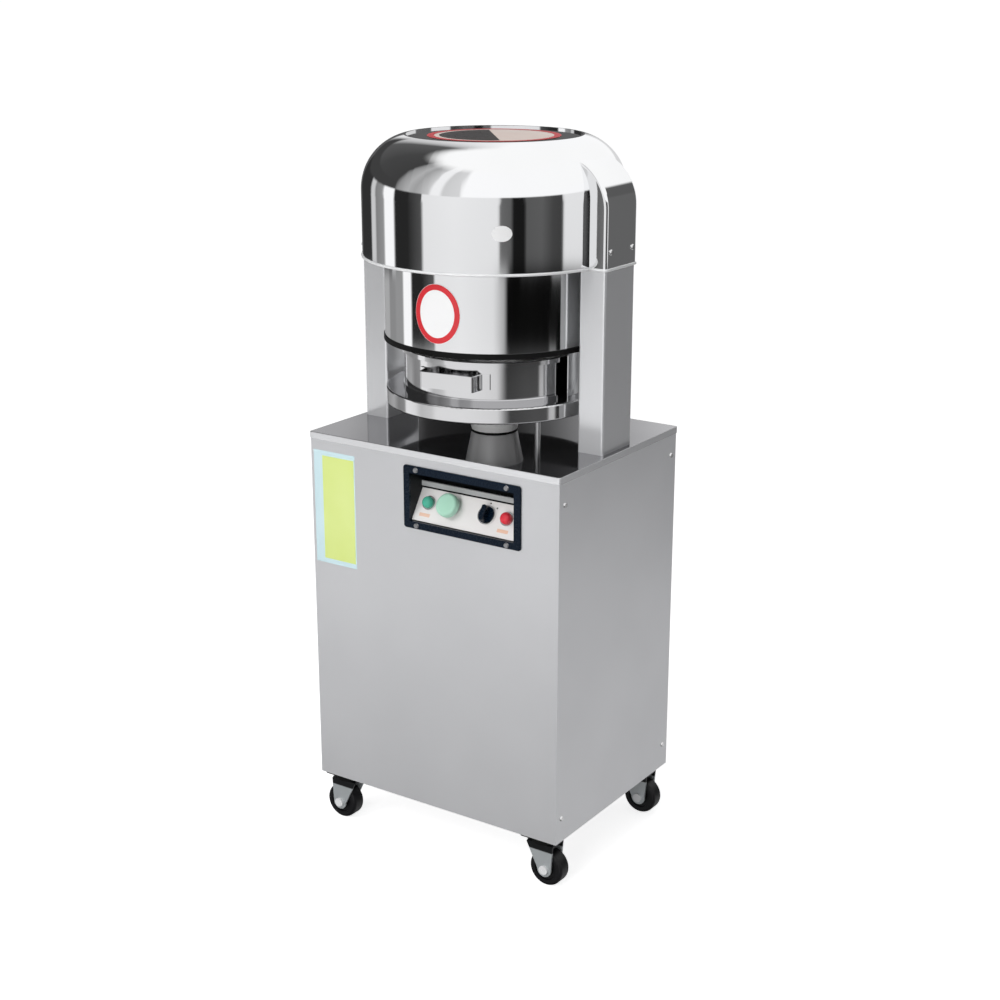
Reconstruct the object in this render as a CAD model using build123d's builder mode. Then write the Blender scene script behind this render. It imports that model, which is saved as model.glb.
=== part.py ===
from build123d import *
from math import atan2, cos, hypot, pi, sin, sqrt, radians
import os

os.makedirs("parts", exist_ok=True)

# Overall sizes in millimetres
cabinet_width = 530.0
cabinet_depth = 400.0
cabinet_height = 668.0
caster_height = 95.0
lift_travel = 75.0
press_travel = 28.0

# Fits between pieces
body_gap = 0.3
running_gap = 0.05
bolt_gap = 0.4

# Cabinet sheet metal
top_sheet = 2.0
top_lip = 12.0
top_corner = 5.0
top_edge_round = 1.2
panel_sheet = 1.5
base_sheet = 4.0

# Inner frame
angle_leg = 30.0
angle_sheet = 3.0
ring_thickness = 8.0
ring_side = 60.0
ring_end = 30.0
cross_bar_width = 40.0
cross_bar_y = 62.0

# Uprights and head cover
upright_width = 50.0
upright_depth = 96.0
upright_wall = 3.0
upright_inset = 11.0
upright_drop = 4.0
upright_round = 4.0
cover_sheet = 2.0
cover_side = 25.0
cover_overlap = 33.0
cover_height = 207.0
shoulder_run = 74.0
shoulder_height = 92.0
ear_drop = 107.0
ear_round = 83.0
ear_corner = 6.0
top_recess = 3.0
top_recess_margin = 4.0
beam_height = 50.0
beam_wall = 6.0
floor_sheet = 2.0
floor_rise = 5.0

# Skirt and its edge trim
skirt_step = 36.0
skirt_sheet = 2.0
skirt_clearance = 11.5
trim_height = 9.0
trim_side = 1.6
trim_under = 2.0

# Platen, hub and ram
platen_step = 1.0
platen_rise = 85.0
platen_thickness = 28.0
platen_edge = 3.0
hub_top_radius = 52.0
hub_bottom_radius = 41.0
ram_radius = 28.0
gland_radius = 42.5
gland_height = 2.0
gland_edge = 1.0
rod_radius = 5.0
rod_x = 92.0
rod_depth = 130.0

# Ram guide
guide_flange = 12.0
guide_length = 105.0
guide_wall = 12.0
bush_wall = 6.0
rod_guide_radius = 15.0
rod_guide_length = 50.0
guide_margin = 28.0

# Dough pan, handle and back stop
pan_step = 34.0
pan_wall = 3.0
pan_height = 73.0
pan_rim = 5.0
pan_rim_height = 9.0
pan_bead = 2.5
pan_bead_height = 6.0
pan_turn = 7.0
handle_bar = 100.0
handle_base = 110.0
handle_clearance = 2.0
handle_height = 27.0
handle_rise = 25.0
handle_sheet = 3.0
handle_bend = 4.5
handle_foot = 12.0
stop_step = 17.0
stop_sheet = 2.0
stop_rise = 79.0
stop_half_opening = 80.0

# Dividing head: three rings of cells with equal areas
head_step = 8.0
inner_cells = 6
middle_cells = 12
outer_cells = 18
blade = 2.0
blade_gap = 0.5
knife_lift = 2.0
knife_height = 48.0
knife_hub = 18.0
segment_lift = 10.0
segment_thickness = 20.0
rod_push_radius = 5.0
carrier_rise = 34.0
carrier_thickness = 12.0
carrier_margin = 6.0
spindle_radius = 13.0
spindle_collar = 22.0
collar_height = 10.0
spring_closed = 41.5
spring_wire = 2.6
spring_radius = 24.0
spring_turns = 5
spring_wire_sides = 8

# Heart cam drive
cam_rise = 275.0
cam_small = 80.0
cam_thickness = 24.0
cam_hub_radius = 36.0
cam_hub_extra = 3.0
cam_steps = 24
cam_tip_share = 0.97
shaft_radius = 20.0
shaft_left = -188.0
shaft_right = 108.0
roller_radius = 25.0
roller_width = 28.0
roller_pin = 9.0
fork_cheek = 12.0
fork_side_gap = 1.0
fork_depth = 46.0
fork_crown = 14.0
fork_crown_rise = 30.0
gearbox_left = -190.0
gearbox_right = -70.0
gearbox_half_depth = 66.0
gearbox_half_height = 72.0
gearbox_round = 10.0
worm_y = 84.0
worm_radius = 46.0
motor_radius = 60.0
motor_clearance = 42.0
motor_flange = 10.0
motor_fins = 20
fin_depth = 5.0
fin_width = 7.0
fan_height = 45.0
fan_radius = 64.0
stand_sheet = 8.0
stand_foot = 24.0
block_left = 64.0
block_width = 38.0
block_depth = 90.0

# Electrical box and cable gland
box_width = 130.0
box_depth = 74.0
box_height = 220.0
box_margin = 55.0
box_rise = 335.0
cable_margin = 115.0
cable_z = 190.0
cable_bore = 5.5
cable_nut_radius = 14.0
cable_nut_sides = 6
cable_thread_radius = 10.0
cable_out = 20.0
cable_in = 12.0
vent_length = 70.0
vent_height = 6.0
vent_pitch = 16.0
vent_rows = 7
vent_x = -110.0
vent_z = 200.0

# Control panel
bezel_side = 198.0
bezel_drop = 84.0
bezel_width = 243.0
bezel_height = 113.0
bezel_frame = 13.0
bezel_screw_inset = 27.5
bezel_sheet = 4.0
bezel_round = 5.0
bezel_edge = 2.0
tray_wall = 2.0
tray_depth = 60.0
plate_sheet = 2.0
plate_inset = 3.0
plate_length = 60.0
plate_tilt = 33.0
control_rise = 34.0
green_x = -83.0
mushroom_x = -37.0
selector_x = 38.0
red_x = 80.0
lamp_radius = 10.5
lamp_height = 11.0
lamp_crown = 8.5
lamp_stem = 5.0
lamp_travel = 4.0
collar_wall = 1.8
collar_tall = 4.0
mushroom_radius = 21.0
mushroom_height = 12.0
mushroom_crown = 6.0
mushroom_stem = 9.0
mushroom_travel = 5.0
selector_radius = 15.0
selector_disc = 5.0
selector_bar = 9.0
selector_reach = 14.0
selector_edge = 1.5
stem_tail = 12.0

# Fastener heads
screw_head = 5.0
screw_head_height = 2.4
screw_head_taper = 25.0
screw_shank = 2.5
screw_edge_y = 16.0
screw_low = 45.0
screw_drop = 49.0
cover_screw_y = 35.0
cover_screw_rise = 31.0

# Casters
pivot_side = 44.0
pivot_end = 33.0
wheel_radius = 33.0
wheel_width = 28.0
wheel_round = 5.0
wheel_trail = 10.0
wheel_dish = 3.0
wheel_dish_radius = 22.0
wheel_boss_radius = 10.0
axle_radius = 5.0
axle_head = 8.5
axle_head_height = 4.0
cheek_sheet = 3.5
cheek_gap = 1.5
cheek_eye = 14.0
crown_length = 54.0
crown_sheet = 4.0
swivel_plate_x = 72.0
swivel_plate_y = 58.0
swivel_plate_sheet = 3.0
swivel_plate_corner = 6.0
cup_radius = 24.0
cup_height = 10.0
kingpin_radius = 6.0

# Levels and faces that follow from the sizes above
base_z = caster_height
top_z = base_z + cabinet_height
plate_under = top_z - top_sheet
panel_x = cabinet_width / 2 - top_sheet - body_gap
panel_y = cabinet_depth / 2 - top_sheet - body_gap
inner_x = panel_x - panel_sheet
inner_y = panel_y - panel_sheet
panel_height = plate_under - base_z
panel_middle = base_z + panel_height / 2
base_top = base_z + base_sheet
ring_under = plate_under - ring_thickness
screw_high = panel_height - screw_drop
pivot_x = cabinet_width / 2 - pivot_side
pivot_y = cabinet_depth / 2 - pivot_end
upright_outer = cabinet_width / 2 - upright_inset
upright_x = upright_outer - upright_width / 2
upright_inner = upright_outer - upright_width
cover_radius = upright_inner + cover_side
skirt_radius = cover_radius - skirt_step
platen_radius = skirt_radius - platen_step
platen_top = top_z + platen_rise
platen_under = platen_top - platen_thickness
skirt_bottom = platen_top + lift_travel + skirt_clearance
segment_bottom = skirt_bottom + segment_lift
knife_bottom = segment_bottom + knife_lift
carrier_bottom = knife_bottom + knife_height + carrier_rise
carrier_top = carrier_bottom + carrier_thickness
beam_bottom = carrier_top + press_travel + spring_closed
cover_bottom = beam_bottom - cover_overlap
head_top = cover_bottom + cover_height
shoulder_base = head_top - shoulder_height
shoulder_turn = 2 * atan2(shoulder_run, shoulder_height)
rim_radius = cover_radius - shoulder_run
ear_outer = upright_outer + cover_sheet
ear_base = head_top - ear_drop
ear_tip = ear_outer - ear_round
ear_top = ear_base + ear_round
upright_top = ear_base - upright_drop
pan_radius = skirt_radius - pan_step
stop_radius = pan_radius + stop_step
head_radius = pan_radius - head_step
trim_inner = skirt_radius - skirt_sheet - trim_side
gland_top = top_z + gland_height
pan_inner = pan_radius - pan_wall
cam_z = base_z + cam_rise
roller_z = cam_z + cam_small
ram_bottom = roller_z + fork_crown_rise + fork_crown
box_x = cabinet_width / 2 - box_margin - box_width / 2
cable_x = cabinet_width / 2 - cable_margin
bezel_x = cabinet_width / 2 - bezel_side
bezel_z = top_z - bezel_drop
open_width = bezel_width - 2 * bezel_frame
open_height = bezel_height - 2 * bezel_frame
bezel_screw_x = bezel_width / 2 - bezel_screw_inset
bezel_screw_z = (bezel_height - bezel_frame) / 2
inner_ring = head_radius * sqrt(inner_cells / (inner_cells + middle_cells + outer_cells))
outer_ring = head_radius * sqrt(
    (inner_cells + middle_cells) / (inner_cells + middle_cells + outer_cells))
wheel_z = wheel_radius


# Sketch planes that face the right side and the front of the machine
def facing_right(x, y, z):
    return Plane((x, y, z), x_dir=(0, 1, 0), z_dir=(1, 0, 0))


def facing_front(x, y, z):
    return Plane((x, y, z), x_dir=(1, 0, 0), z_dir=(0, -1, 0))


# Sloping face of the control plate, its foot near the front panel
tilt = radians(plate_tilt)
control_axis = Axis((0, 0, 0), (0, -cos(tilt), sin(tilt)))
plate_foot = bezel_z - open_height / 2 + plate_sheet * sin(tilt)
control_face = Plane((bezel_x, plate_inset - panel_y, plate_foot), x_dir=(1, 0, 0),
                     z_dir=(0, -cos(tilt), sin(tilt)))


# Floor of the cabinet
with BuildPart() as base_plate:
    with BuildSketch(Plane.XY.offset(base_z)):
        Rectangle(2 * inner_x, 2 * inner_y)
    extrude(amount=base_sheet)

# Welded frame of four angle posts, a top ring and two cross bars
with BuildPart() as inner_frame:
    with BuildSketch(Plane.XY.offset(base_top)):
        with GridLocations(2 * inner_x - angle_leg, 2 * inner_y - angle_leg, 2, 2):
            Rectangle(angle_leg, angle_leg)
        Rectangle(2 * (inner_x - angle_sheet), 2 * (inner_y - angle_sheet), mode=Mode.SUBTRACT)
    extrude(amount=ring_under - base_top)
    with BuildSketch(Plane.XY.offset(ring_under)):
        Rectangle(2 * inner_x, 2 * inner_y)
        Rectangle(2 * (inner_x - ring_side), 2 * (inner_y - ring_end), mode=Mode.SUBTRACT)
        with GridLocations(0, 2 * cross_bar_y, 1, 2):
            Rectangle(2 * inner_x, cross_bar_width)
    extrude(amount=ring_thickness)

# Top tray with a lip turned down over the panels
with BuildPart() as top_plate:
    with BuildSketch(Plane.XY.offset(top_z - top_lip)):
        RectangleRounded(cabinet_width, cabinet_depth, top_corner)
    extrude(amount=top_lip)
    fillet(top_plate.faces().sort_by(Axis.Z)[-1].edges(), radius=top_edge_round)
    with BuildSketch(Plane.XY.offset(top_z - top_lip)):
        Rectangle(2 * (panel_x + body_gap), 2 * (panel_y + body_gap))
    extrude(amount=top_lip - top_sheet, mode=Mode.SUBTRACT)
    with BuildSketch(Plane.XY.offset(plate_under)):
        with Locations((-upright_x, 0), (upright_x, 0)):
            Rectangle(upright_width + 2 * body_gap, upright_depth + 2 * body_gap)
        Circle(ram_radius + body_gap)
        with Locations((rod_x, 0)):
            Circle(rod_radius + body_gap)
    extrude(amount=top_sheet, mode=Mode.SUBTRACT)

# Front panel with the window of the control recess
with BuildPart() as front_panel:
    with BuildSketch(Plane.XZ.offset(panel_y)):
        with Locations((0, panel_middle)):
            Rectangle(2 * panel_x, panel_height)
        with Locations((bezel_x, bezel_z)):
            Rectangle(open_width + 2 * (tray_wall + bolt_gap), open_height + 2 * (tray_wall + bolt_gap),
                      mode=Mode.SUBTRACT)
    extrude(amount=-panel_sheet)

# Rear panel with vent slots and the cable hole
with BuildPart() as rear_panel:
    with BuildSketch(Plane.XZ.offset(-panel_y)):
        with Locations((0, panel_middle)):
            Rectangle(2 * panel_x, panel_height)
        with Locations((vent_x, base_z + vent_z)):
            with GridLocations(0, vent_pitch, 1, vent_rows):
                SlotOverall(vent_length, vent_height, mode=Mode.SUBTRACT)
        with Locations((cable_x, base_z + cable_z)):
            Circle(cable_thread_radius + body_gap, mode=Mode.SUBTRACT)
    extrude(amount=panel_sheet)

# Side panels between the front and the rear
with BuildPart() as left_panel:
    with BuildSketch(Plane.YZ.offset(-panel_x)):
        with Locations((0, panel_middle)):
            Rectangle(2 * inner_y, panel_height)
        with Locations((0, base_z)):
            with Locations((inner_y - screw_edge_y, screw_low), (screw_edge_y - inner_y, screw_low),
                           (inner_y - screw_edge_y, screw_high), (screw_edge_y - inner_y, screw_high)):
                Circle(screw_shank + bolt_gap, mode=Mode.SUBTRACT)
    extrude(amount=panel_sheet)

with BuildPart() as right_panel:
    add(left_panel.part.mirror(Plane.YZ))

# Button-head screws of the side panels
with BuildPart() as panel_screws:
    for side in (-1, 1):
        for depth in (screw_edge_y - inner_y, inner_y - screw_edge_y):
            for rise in (screw_low, screw_high):
                face = Plane((side * panel_x, depth, base_z + rise), z_dir=(side, 0, 0))
                with BuildSketch(face):
                    Circle(screw_head)
                extrude(amount=screw_head_height, taper=screw_head_taper)
                with BuildSketch(face):
                    Circle(screw_shank)
                extrude(amount=-panel_sheet)

# Rectangular tube uprights
with BuildPart() as right_upright:
    with BuildSketch(Plane.XY.offset(plate_under)):
        with Locations((upright_x, 0)):
            RectangleRounded(upright_width, upright_depth, upright_round)
            Rectangle(upright_width - 2 * upright_wall, upright_depth - 2 * upright_wall,
                      mode=Mode.SUBTRACT)
    extrude(amount=upright_top - plate_under)
    with BuildSketch(Plane.YZ.offset(upright_outer)):
        with Locations((-cover_screw_y, cover_bottom + cover_screw_rise),
                       (cover_screw_y, cover_bottom + cover_screw_rise)):
            Circle(screw_shank + bolt_gap)
    extrude(amount=-upright_wall, mode=Mode.SUBTRACT)

with BuildPart() as left_upright:
    add(right_upright.part.mirror(Plane.YZ))

# Ears of the head cover and the hollow inside them
with BuildPart() as ears:
    with BuildSketch(Plane.XZ):
        with BuildLine():
            Line((-ear_outer, cover_bottom), (ear_outer, cover_bottom))
            Line((ear_outer, cover_bottom), (ear_outer, ear_base))
            TangentArc((ear_outer, ear_base), (ear_tip, ear_top), tangent=(0, 1))
            Line((ear_tip, ear_top), (-ear_tip, ear_top))
            TangentArc((-ear_outer, ear_base), (-ear_tip, ear_top), tangent=(0, 1))
            Line((-ear_outer, ear_base), (-ear_outer, cover_bottom))
        make_face()
    extrude(amount=upright_depth / 2 + cover_sheet, both=True)
    fillet(ears.edges().filter_by(Axis.Z), radius=ear_corner)

with BuildPart() as ear_hollow:
    inner_top = ear_top - cover_sheet
    with BuildSketch(Plane.XZ):
        with BuildLine():
            Line((-upright_outer, cover_bottom), (upright_outer, cover_bottom))
            Line((upright_outer, cover_bottom), (upright_outer, ear_base))
            TangentArc((upright_outer, ear_base), (ear_tip, inner_top), tangent=(0, 1))
            Line((ear_tip, inner_top), (-ear_tip, inner_top))
            TangentArc((-upright_outer, ear_base), (-ear_tip, inner_top), tangent=(0, 1))
            Line((-upright_outer, ear_base), (-upright_outer, cover_bottom))
        make_face()
    extrude(amount=upright_depth / 2, both=True)
    fillet(ear_hollow.edges().filter_by(Axis.Z), radius=ear_corner - cover_sheet)

# Polished head cover: a drum with a rounded shoulder and an ear over each upright
with BuildPart() as head_cover:
    with BuildSketch(Plane.XZ):
        with BuildLine():
            Line((0, cover_bottom), (cover_radius, cover_bottom))
            Line((cover_radius, cover_bottom), (cover_radius, shoulder_base))
            TangentArc((cover_radius, shoulder_base), (rim_radius, head_top), tangent=(0, 1))
            Line((rim_radius, head_top), (0, head_top))
            Line((0, head_top), (0, cover_bottom))
        make_face()
    revolve(axis=Axis.Z)
    add(ears.part)
    inner_cover = cover_radius - cover_sheet
    inner_rim = rim_radius - cover_sheet * cos(shoulder_turn)
    inner_rise = head_top - cover_sheet * sin(shoulder_turn)
    ceiling = head_top - cover_sheet - top_recess
    with BuildSketch(Plane.XZ):
        with BuildLine():
            Line((0, cover_bottom), (inner_cover, cover_bottom))
            Line((inner_cover, cover_bottom), (inner_cover, shoulder_base))
            TangentArc((inner_cover, shoulder_base), (inner_rim, inner_rise), tangent=(0, 1))
            Line((inner_rim, inner_rise), (inner_rim, ceiling))
            Line((inner_rim, ceiling), (0, ceiling))
            Line((0, ceiling), (0, cover_bottom))
        make_face()
    revolve(axis=Axis.Z, mode=Mode.SUBTRACT)
    add(ear_hollow.part, mode=Mode.SUBTRACT)
    with BuildSketch(Plane.XY.offset(head_top)):
        Circle(rim_radius - top_recess_margin)
    extrude(amount=-top_recess, mode=Mode.SUBTRACT)
    with BuildSketch(Plane.YZ):
        with Locations((-cover_screw_y, cover_bottom + cover_screw_rise),
                       (cover_screw_y, cover_bottom + cover_screw_rise)):
            Circle(screw_shank + bolt_gap)
    extrude(amount=cabinet_width, both=True, mode=Mode.SUBTRACT)

# Button-head screws through the ears into the uprights
with BuildPart() as cover_screws:
    for side in (-1, 1):
        for depth in (-cover_screw_y, cover_screw_y):
            face = Plane((side * ear_outer, depth, cover_bottom + cover_screw_rise),
                         z_dir=(side, 0, 0))
            with BuildSketch(face):
                Circle(screw_head)
            extrude(amount=screw_head_height, taper=screw_head_taper)
            with BuildSketch(face):
                Circle(screw_shank)
            extrude(amount=-(cover_sheet + upright_wall))

# Floor ring of the head cover, round the skirt and the uprights
with BuildPart() as cover_floor:
    with BuildSketch(Plane.XY.offset(cover_bottom + floor_rise)):
        Circle(cover_radius - cover_sheet - body_gap)
        Circle(skirt_radius + body_gap, mode=Mode.SUBTRACT)
        with Locations((-upright_x, 0), (upright_x, 0)):
            Rectangle(upright_width + 2 * body_gap, upright_depth + 2 * body_gap, mode=Mode.SUBTRACT)
    extrude(amount=floor_sheet)

# Beam between the uprights that carries the dividing head
with BuildPart() as head_beam:
    with BuildSketch(Plane.XY.offset(beam_bottom)):
        Rectangle(2 * upright_inner, upright_depth)
    extrude(amount=beam_height)
    with BuildSketch(Plane.XY.offset(beam_bottom + beam_wall)):
        Rectangle(2 * upright_inner, upright_depth - 2 * beam_wall)
    extrude(amount=beam_height - 2 * beam_wall, mode=Mode.SUBTRACT)
    with BuildSketch(Plane.XY.offset(beam_bottom)):
        Circle(spindle_radius + body_gap)
    extrude(amount=beam_wall, mode=Mode.SUBTRACT)

# Round skirt under the head and its black edge trim
with BuildPart() as skirt:
    with BuildSketch(Plane.XY.offset(skirt_bottom)):
        Circle(skirt_radius)
        Circle(skirt_radius - skirt_sheet, mode=Mode.SUBTRACT)
    extrude(amount=beam_bottom - skirt_bottom)

with BuildPart() as skirt_trim:
    with BuildSketch(Plane.XY.offset(skirt_bottom - trim_under)):
        Circle(skirt_radius + trim_side)
        Circle(trim_inner, mode=Mode.SUBTRACT)
    extrude(amount=trim_height)
    with BuildSketch(Plane.XY.offset(skirt_bottom)):
        Circle(skirt_radius)
        Circle(skirt_radius - skirt_sheet, mode=Mode.SUBTRACT)
    extrude(amount=trim_height - trim_under, mode=Mode.SUBTRACT)

# Knife grid: a hub, two ring blades and radial blades in three rings of cells
cell_rings = [(knife_hub, inner_ring, inner_cells),
              (inner_ring, outer_ring, middle_cells),
              (outer_ring, head_radius, outer_cells)]
with BuildPart() as knife_grid:
    with BuildSketch(Plane.XY.offset(knife_bottom)):
        for ring in (inner_ring, outer_ring):
            Circle(ring + blade / 2)
            Circle(ring - blade / 2, mode=Mode.SUBTRACT)
        for start, end, cells in cell_rings:
            with PolarLocations((start + end - blade / 2) / 2, cells):
                Rectangle(end - start + blade / 2, blade)
        Circle(knife_hub)
        Circle(spindle_radius + running_gap, mode=Mode.SUBTRACT)
    extrude(amount=knife_height)

# Press segments, one in each cell, each with its push rod
with BuildPart() as press_segments:
    for start, end, cells in cell_rings:
        inside = start + blade_gap + (0 if start == knife_hub else blade / 2)
        outside = end - blade_gap - (0 if end == head_radius else blade / 2)
        with BuildSketch(Plane.XY.offset(segment_bottom)):
            Circle(outside)
            Circle(inside, mode=Mode.SUBTRACT)
            with PolarLocations((start + end) / 2, cells):
                Rectangle(2 * (end - start), blade + 2 * blade_gap, mode=Mode.SUBTRACT)
        extrude(amount=segment_thickness)
        with BuildSketch(Plane.XY.offset(segment_bottom + segment_thickness)):
            with PolarLocations((start + end) / 2, cells, start_angle=180 / cells):
                Circle(rod_push_radius)
        extrude(amount=carrier_bottom - segment_bottom - segment_thickness)

# Carrier plate that joins the push rods and slides on the spindle
with BuildPart() as press_carrier:
    with BuildSketch(Plane.XY.offset(carrier_bottom)):
        Circle(head_radius - carrier_margin)
        Circle(spindle_radius + running_gap, mode=Mode.SUBTRACT)
    extrude(amount=carrier_thickness)

# Spindle that hangs the knife grid from the beam, with the collar under the carrier
with BuildPart() as knife_spindle:
    with BuildSketch(Plane.XY.offset(knife_bottom)):
        Circle(spindle_radius)
    extrude(amount=beam_bottom + beam_wall - knife_bottom)
    with BuildSketch(Plane.XY.offset(carrier_bottom - collar_height)):
        Circle(spindle_collar)
    extrude(amount=collar_height)

# Return spring between the carrier and the beam
with BuildPart() as press_spring:
    with BuildLine():
        Helix(pitch=(beam_bottom - carrier_top - 2 * spring_wire) / spring_turns,
              height=beam_bottom - carrier_top - 2 * spring_wire, radius=spring_radius,
              center=(0, 0, carrier_top + spring_wire))
    wire_start = (spring_radius, 0, carrier_top + spring_wire)
    with BuildSketch(Plane(wire_start, x_dir=(1, 0, 0), z_dir=(0, 1, 0))):
        RegularPolygon(spring_wire, spring_wire_sides)
    sweep(is_frenet=True)

# Platen with its tapered hub
with BuildPart() as platen:
    with BuildSketch(Plane.XY.offset(platen_under)):
        Circle(platen_radius)
    extrude(amount=platen_thickness)
    fillet(platen.edges(), radius=platen_edge)

with BuildPart() as platen_hub:
    with BuildSketch(Plane.XZ):
        with BuildLine():
            Polyline((ram_radius + running_gap, gland_top + body_gap),
                     (hub_bottom_radius, gland_top + body_gap), (hub_top_radius, platen_under),
                     (ram_radius + running_gap, platen_under), close=True)
        make_face()
    revolve(axis=Axis.Z)

# Ram, guide rod and the gland ring on the cabinet top
with BuildPart() as ram_shaft:
    with BuildSketch(Plane.XY.offset(ram_bottom)):
        Circle(ram_radius)
    extrude(amount=platen_under - ram_bottom)

with BuildPart() as guide_rod:
    with BuildSketch(Plane.XY.offset(top_z - rod_depth)):
        with Locations((rod_x, 0)):
            Circle(rod_radius)
    extrude(amount=platen_under - top_z + rod_depth)

with BuildPart() as gland_ring:
    with BuildSketch(Plane.XY.offset(top_z)):
        Circle(gland_radius)
        Circle(ram_radius + body_gap, mode=Mode.SUBTRACT)
    extrude(amount=gland_height)
    top_edges = gland_ring.faces().sort_by(Axis.Z)[-1].edges()
    chamfer(top_edges.sort_by(SortBy.RADIUS)[-1], length=gland_edge)

# Guide under the cabinet top for the ram and the rod
guide_bore = ram_radius + bush_wall
with BuildPart() as ram_guide:
    with BuildSketch(Plane.XY.offset(ring_under - guide_flange)):
        RectangleRounded(2 * (rod_x + guide_margin), 2 * (cross_bar_y + cross_bar_width / 2), guide_margin)
    extrude(amount=guide_flange)
    with BuildSketch(Plane.XY.offset(ring_under - guide_flange)):
        Circle(guide_bore + guide_wall)
    extrude(amount=-(guide_length - guide_flange))
    with BuildSketch(Plane.XY.offset(ring_under - guide_flange)):
        with Locations((rod_x, 0)):
            Circle(rod_guide_radius)
    extrude(amount=-(rod_guide_length - guide_flange))
    with BuildSketch(Plane.XY.offset(ring_under)):
        Circle(guide_bore)
        with Locations((rod_x, 0)):
            Circle(rod_radius + running_gap)
    extrude(amount=-guide_length, mode=Mode.SUBTRACT)

with BuildPart() as ram_bush:
    with BuildSketch(Plane.XY.offset(ring_under - guide_length)):
        Circle(guide_bore - running_gap)
        Circle(ram_radius + running_gap, mode=Mode.SUBTRACT)
    extrude(amount=guide_length)

# Back stop that centres the pan on the platen
with BuildPart() as back_stop:
    with BuildSketch(Plane.XY.offset(platen_top)):
        Circle(stop_radius)
        Circle(stop_radius - stop_sheet, mode=Mode.SUBTRACT)
        with BuildLine():
            reach = 2 * stop_radius
            spread = radians(stop_half_opening)
            Polyline((0, 0), (-reach * sin(spread), -reach * cos(spread)), (-reach, -reach),
                     (reach, -reach), (reach * sin(spread), -reach * cos(spread)), close=True)
        make_face(mode=Mode.SUBTRACT)
    extrude(amount=stop_rise)

# Dough pan with a rim and a foot bead
with BuildPart() as dough_pan:
    with BuildSketch(Plane.XZ):
        with BuildLine():
            Polyline((0, platen_top), (pan_radius + pan_bead, platen_top),
                     (pan_radius + pan_bead, platen_top + pan_bead_height),
                     (pan_radius, platen_top + pan_bead_height),
                     (pan_radius, platen_top + pan_height - pan_rim_height),
                     (pan_radius + pan_rim, platen_top + pan_height - pan_rim_height),
                     (pan_radius + pan_rim, platen_top + pan_height),
                     (pan_inner, platen_top + pan_height), (pan_inner, platen_top + pan_wall),
                     (0, platen_top + pan_wall), close=True)
        make_face()
    revolve(axis=Axis.Z)
    rim_edges = dough_pan.edges().filter_by(GeomType.CIRCLE).group_by(Axis.Z)[-1]
    fillet(rim_edges, radius=pan_wall / 2)

# Strap handle of the pan with two feet on its wall, inside the skirt when the platen is up
turn = radians(pan_turn)
handle_plane = Plane((0, 0, platen_top + handle_rise), x_dir=(cos(turn), sin(turn), 0), z_dir=(0, 0, 1))
handle_sweep = trim_inner - handle_clearance
handle_front = sqrt(handle_sweep ** 2 - (handle_bar / 2) ** 2) - handle_sheet / 2
handle_root = sqrt(pan_radius ** 2 - (handle_base / 2) ** 2) - handle_bend
with BuildPart() as pan_handle:
    with BuildSketch(handle_plane):
        with BuildLine():
            FilletPolyline((-handle_base / 2, -handle_root), (-handle_bar / 2, -handle_front),
                           (handle_bar / 2, -handle_front), (handle_base / 2, -handle_root),
                           radius=handle_bend)
            offset(amount=handle_sheet / 2, side=Side.BOTH)
        make_face()
        Circle(pan_radius, mode=Mode.SUBTRACT)
    extrude(amount=handle_height)
    with BuildSketch(handle_plane):
        Circle(pan_radius + handle_sheet)
        Circle(pan_radius, mode=Mode.SUBTRACT)
        with Locations((0, -pan_radius)):
            Rectangle(handle_base + 2 * handle_foot, pan_radius, mode=Mode.INTERSECT)
            Rectangle(handle_base, pan_radius, mode=Mode.SUBTRACT)
    extrude(amount=handle_height)

# Heart cam: its pitch curve rises evenly with the turn, so the ram rises evenly
roller_reach = roller_radius + body_gap
cam_rate = lift_travel / pi
cam_flank = []
for step in range(cam_steps + 1):
    angle = pi * cam_tip_share * step / cam_steps
    pitch = cam_small + cam_rate * angle
    along = cam_rate * sin(angle) + pitch * cos(angle)
    upward = cam_rate * cos(angle) - pitch * sin(angle)
    length = hypot(along, upward)
    cam_flank.append((pitch * sin(angle) + roller_reach * upward / length,
                      pitch * cos(angle) - roller_reach * along / length))
cam_large = cam_small + lift_travel
cam_flank.append((0, roller_reach / cos(atan2(cam_rate, cam_large)) - cam_large))
with BuildPart() as lift_cam:
    with BuildSketch(facing_right(0, 0, cam_z)):
        with BuildLine():
            Spline(*cam_flank)
            Spline(*[(-side, rise) for side, rise in cam_flank])
            ThreePointArc(cam_flank[0], (0, cam_small - roller_reach),
                          (-cam_flank[0][0], cam_flank[0][1]))
        make_face()
    extrude(amount=cam_thickness / 2, both=True)
    with BuildSketch(facing_right(0, 0, cam_z)):
        Circle(cam_hub_radius)
    extrude(amount=cam_thickness / 2 + cam_hub_extra, both=True)
    with BuildSketch(facing_right(0, 0, cam_z)):
        Circle(shaft_radius + running_gap)
    extrude(amount=cam_thickness, both=True, mode=Mode.SUBTRACT)

with BuildPart() as cam_shaft:
    with BuildSketch(facing_right(shaft_left, 0, cam_z)):
        Circle(shaft_radius)
    extrude(amount=shaft_right - shaft_left)

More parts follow.
